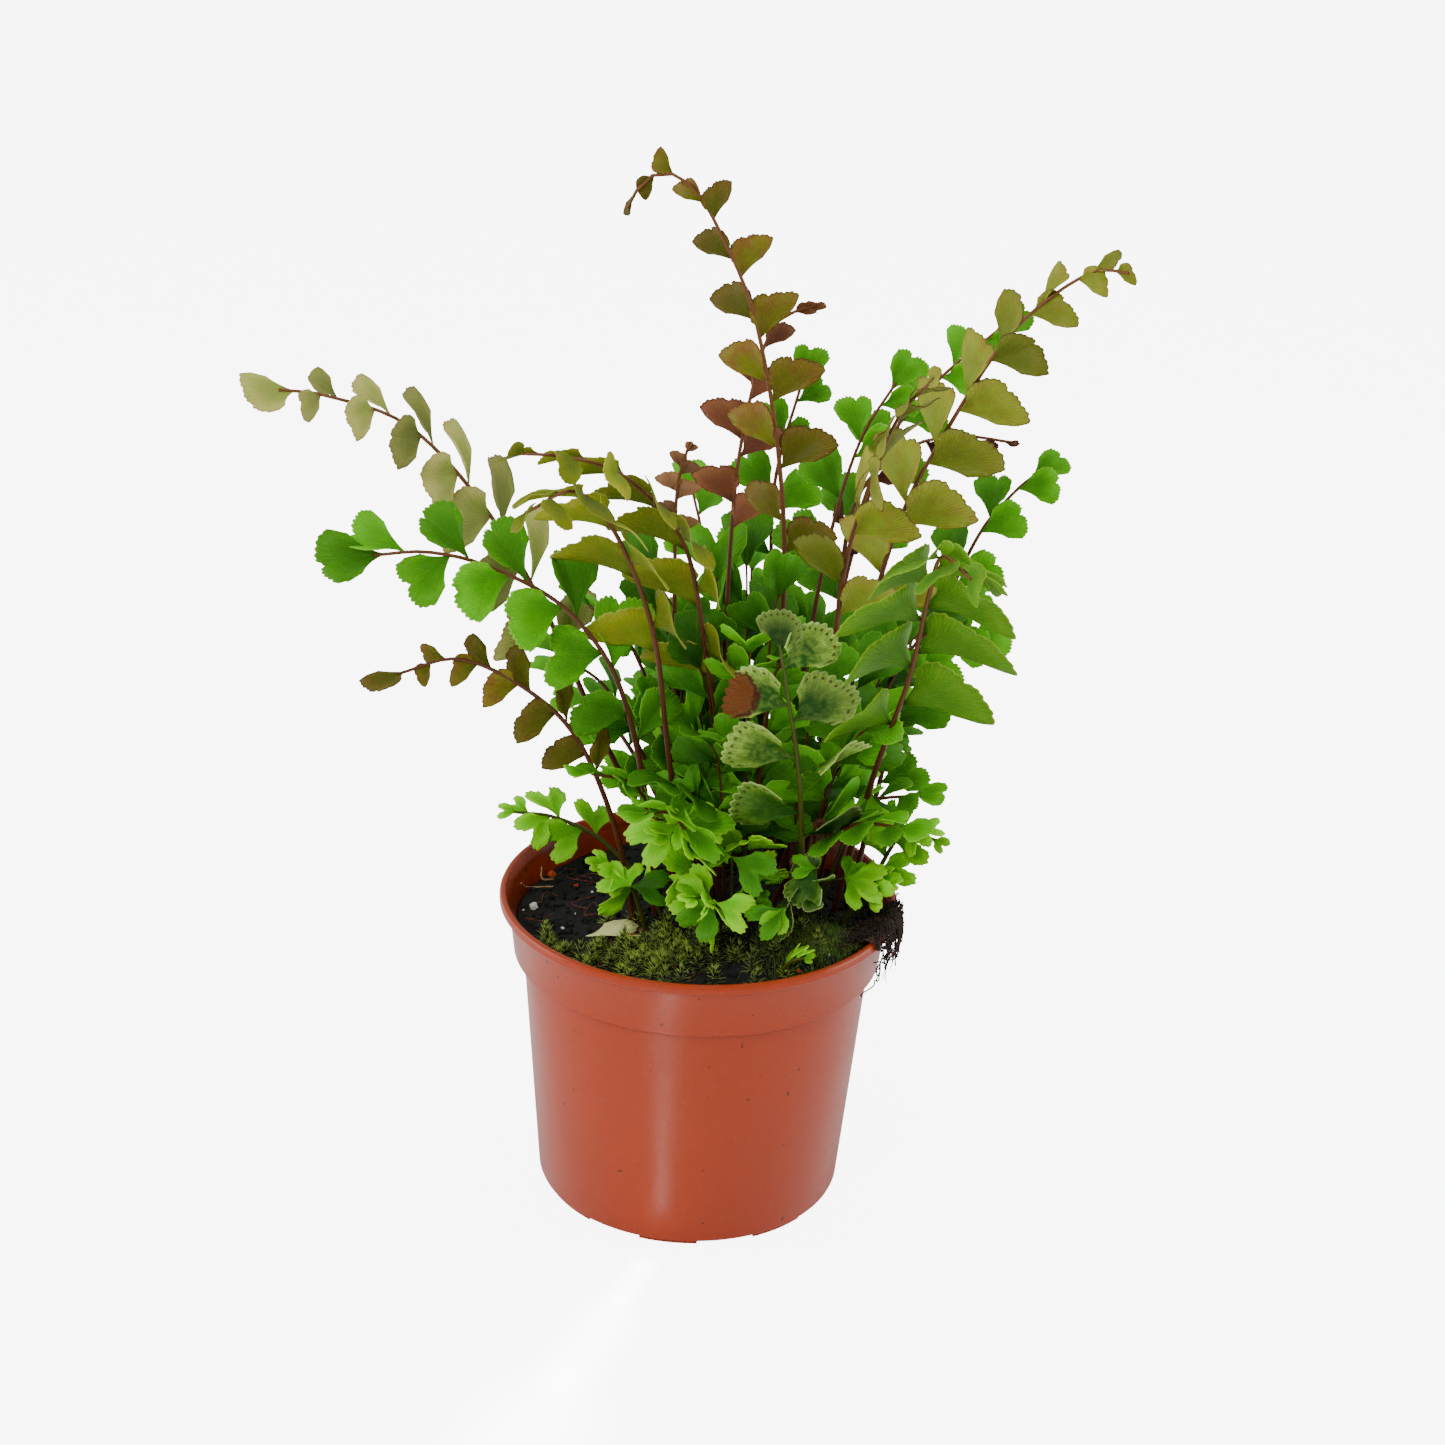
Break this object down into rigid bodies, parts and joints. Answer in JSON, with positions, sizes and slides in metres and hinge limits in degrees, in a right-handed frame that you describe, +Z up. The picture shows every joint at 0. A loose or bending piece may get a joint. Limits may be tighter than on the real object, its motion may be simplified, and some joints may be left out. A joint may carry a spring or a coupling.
{
  "type": "potted fern",
  "caption": "Living fern in a round plastic nursery pot: wiry dark stems carry fan-shaped green, olive and bronze leaflets above dark mossy soil.",
  "frame": {"origin": "centre of the pot's underside, on the surface that the pot stands on", "axes": "+Z up along the pot's axis, -Y towards the pictured side, +X to the right seen from there"},
  "size_m": [0.2341, 0.1987, 0.3175],
  "materials": {
    "pot_plastic": "terracotta-coloured plastic, satin gloss",
    "peat_soil": null,
    "roots": "dark brown bare roots and peat",
    "withered_leaf": "pale, dry, papery leaf",
    "bronze_leaf": "olive leaf flushed with bronze, brown margin, satin",
    "copper_leaf": "young coppery leaf, satin",
    "olive_leaf": "pale olive green leaf, satin",
    "green_leaf": "fresh green leaf with a paler margin, satin",
    "old_leaf": "old dark green leaf mottled with white, dots along its margin",
    "young_leaf": "bright yellow-green young leaf, satin",
    "dried_leaf": "dried, curled, dark red-brown leaf"
  },
  "bodies": {
    "root": {"pot": "pot_plastic", "soil": "peat_soil", "root_tuft": "roots", "fallen_leaf": "withered_leaf", "frond_tall": "bronze_leaf", "frond_copper": "copper_leaf", "frond_right": "bronze_leaf", "frond_inner": "bronze_leaf", "frond_front": "olive_leaf", "frond_mid_left": "olive_leaf", "frond_near_left": "olive_leaf", "frond_left_arch": "olive_leaf", "frond_green_left": "green_leaf", "frond_small_left": "bronze_leaf", "frond_old": "old_leaf", "frond_rear_right": "green_leaf", "frond_rear_top": "green_leaf", "frond_rear_mid": "green_leaf", "frond_rear_inner": "green_leaf", "fiddlehead": "copper_leaf", "frond_dried": "dried_leaf", "frond_low_right": "green_leaf", "young_right": "young_leaf", "young_left": "young_leaf", "young_front_high": "young_leaf", "young_front_low": "young_leaf", "young_front_left": "young_leaf", "young_front_right": "old_leaf", "young_crown": "young_leaf", "young_centre": "green_leaf", "young_rim": "young_leaf", "young_low": "young_leaf", "frond_filler_01": "green_leaf", "frond_filler_02": "green_leaf", "frond_filler_03": "green_leaf", "frond_filler_04": "green_leaf", "frond_filler_05": "green_leaf", "frond_filler_06": "green_leaf", "frond_filler_07": "green_leaf", "frond_filler_08": "green_leaf", "frond_filler_09": "green_leaf", "frond_filler_10": "green_leaf", "frond_filler_11": "green_leaf", "frond_filler_12": "green_leaf", "frond_filler_13": "green_leaf", "frond_filler_14": "green_leaf"}
  },
  "joints": []
}
